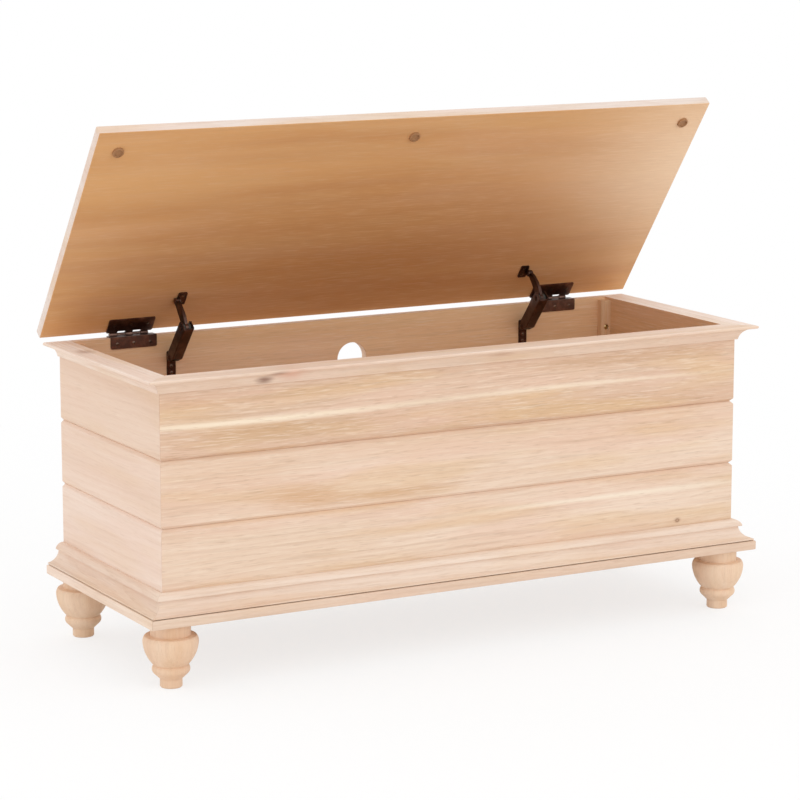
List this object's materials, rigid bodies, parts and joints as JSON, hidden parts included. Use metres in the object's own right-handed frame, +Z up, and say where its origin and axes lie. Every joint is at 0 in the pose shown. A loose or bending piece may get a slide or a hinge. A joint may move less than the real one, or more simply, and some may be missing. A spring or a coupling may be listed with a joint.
{
  "type": "storage bench",
  "caption": "Wooden storage bench: grooved board chest on turned feet, with cornice and base mouldings and a hinged lid held open by lid stays.",
  "frame": {"origin": "on the floor, under the middle of the bench's box as it stands with its lid open", "axes": "+X right along the front, +Y to the back, +Z up"},
  "size_m": [1.016, 0.3969, 0.7739],
  "materials": {
    "sanded_wood": "bare sanded, matte",
    "inside_wood": "bare sanded, matte",
    "lid_wood": "bare sanded, matte",
    "dark_bronze": "dark bronze plating, satin",
    "zinc_steel": "zinc plated, satin",
    "bumper_pads": "moulded brown pad, matte",
    "friction_washers": "moulded nylon, matte"
  },
  "bodies": {
    "chest": {"front_board_bottom": "sanded_wood", "front_board_middle": "sanded_wood", "front_board_top": "sanded_wood", "left_board_bottom": "sanded_wood", "left_board_middle": "sanded_wood", "left_board_top": "sanded_wood", "right_board_bottom": "sanded_wood", "right_board_middle": "sanded_wood", "right_board_top": "sanded_wood", "cornice_front": "sanded_wood", "cornice_left": "sanded_wood", "cornice_right": "sanded_wood", "skirt_front": "sanded_wood", "skirt_left": "sanded_wood", "skirt_right": "sanded_wood", "base_rail_front": "sanded_wood", "base_rail_back": "sanded_wood", "base_rail_left": "sanded_wood", "base_rail_right": "sanded_wood", "foot_front_left": "sanded_wood", "foot_front_right": "sanded_wood", "foot_back_left": "sanded_wood", "foot_back_right": "sanded_wood", "back_panel": "inside_wood", "bottom_panel": "inside_wood", "corner_block_front_left": "inside_wood", "corner_block_front_right": "inside_wood", "corner_block_back_left": "inside_wood", "corner_block_back_right": "inside_wood", "foot_bolts": "zinc_steel", "corner_screws": "zinc_steel", "hinge_frame_leaf_left": "dark_bronze", "hinge_frame_leaf_right": "dark_bronze", "hinge_pin_left": "dark_bronze", "hinge_pin_right": "dark_bronze", "hinge_frame_screws": "dark_bronze", "stay_wall_screws": "dark_bronze", "stay_wall_bracket_left": "dark_bronze", "stay_wall_bracket_right": "dark_bronze", "stay_wall_rivet_left": "dark_bronze", "stay_wall_rivet_right": "dark_bronze"},
    "lid": {"lid_panel": "lid_wood", "lid_bumpers": "bumper_pads", "hinge_lid_leaf_left": "dark_bronze", "hinge_lid_leaf_right": "dark_bronze", "hinge_lid_screws": "dark_bronze", "stay_lid_screws": "dark_bronze", "stay_lid_bracket_left": "dark_bronze", "stay_lid_bracket_right": "dark_bronze", "stay_lid_rivet_left": "dark_bronze", "stay_lid_rivet_right": "dark_bronze"},
    "left_stay_housing": {"stay_housing_left": "dark_bronze", "stay_elbow_rivet_left": "dark_bronze", "stay_washers_left": "friction_washers"},
    "left_stay_arm": {"stay_arm_left": "dark_bronze"},
    "right_stay_housing": {"stay_housing_right": "dark_bronze", "stay_elbow_rivet_right": "dark_bronze", "stay_washers_right": "friction_washers"},
    "right_stay_arm": {"stay_arm_right": "dark_bronze"}
  },
  "joints": [
    {"name": "lid_hinge", "type": "hinge", "parent": "chest", "child": "lid", "pos_m": [0, 0.1874, 0.44175], "axis": [-1, 0, 0], "range_deg": [-53.5, 27]},
    {"name": "left_stay_housing_turn", "type": "hinge", "parent": "chest", "child": "left_stay_housing", "pos_m": [-0.306, 0.1572, 0.4057], "axis": [-1, 0, 0], "range_deg": [-54, 27.5]},
    {"name": "left_stay_arm_turn", "type": "hinge", "parent": "lid", "child": "left_stay_arm", "pos_m": [-0.306, 0.14526, 0.49155], "axis": [-1, 0, 0], "range_deg": [-27.5, 54]},
    {"name": "right_stay_housing_turn", "type": "hinge", "parent": "chest", "child": "right_stay_housing", "pos_m": [0.306, 0.1572, 0.4057], "axis": [-1, 0, 0], "range_deg": [-54, 27.5]},
    {"name": "right_stay_arm_turn", "type": "hinge", "parent": "lid", "child": "right_stay_arm", "pos_m": [0.306, 0.14526, 0.49155], "axis": [-1, 0, 0], "range_deg": [-27.5, 54]}
  ],
  "couplings": [
    {"joint": "left_stay_housing_turn", "follows": "lid_hinge", "ratio": 1},
    {"joint": "left_stay_arm_turn", "follows": "lid_hinge", "ratio": -1},
    {"joint": "right_stay_housing_turn", "follows": "lid_hinge", "ratio": 1},
    {"joint": "right_stay_arm_turn", "follows": "lid_hinge", "ratio": -1}
  ]
}
